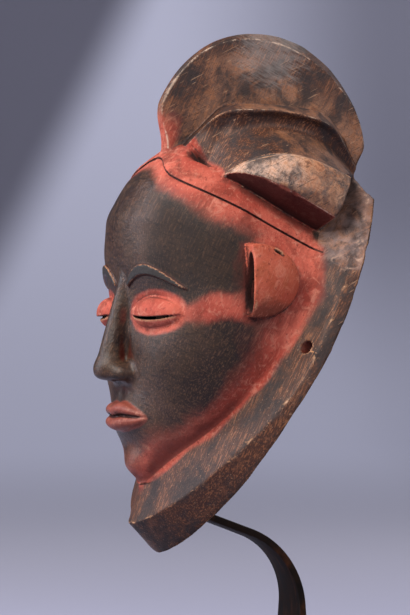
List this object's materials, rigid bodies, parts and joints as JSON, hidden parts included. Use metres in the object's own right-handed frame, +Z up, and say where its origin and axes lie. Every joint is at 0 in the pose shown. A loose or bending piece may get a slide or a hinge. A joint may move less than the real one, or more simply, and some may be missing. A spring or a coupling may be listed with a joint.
{
  "type": "carved face mask on stand",
  "caption": "Carved wooden face mask with a crested coiffure, ears and a flared collar, tipped back on a bent flat bar with a plate foot.",
  "frame": {"origin": "centre of the foot's underside", "axes": "+Z up, the face looks along -Y, the wearer's left is +X"},
  "size_m": [0.1878, 0.1913, 0.4276],
  "materials": {
    "mask": "dark patina over red ochre, satin",
    "stand_bar": "bronzed, matt",
    "stand_foot": "black, matt"
  },
  "bodies": {
    "root": {"mask": "mask", "stand_bar": "stand_bar", "stand_foot": "stand_foot"}
  },
  "joints": []
}
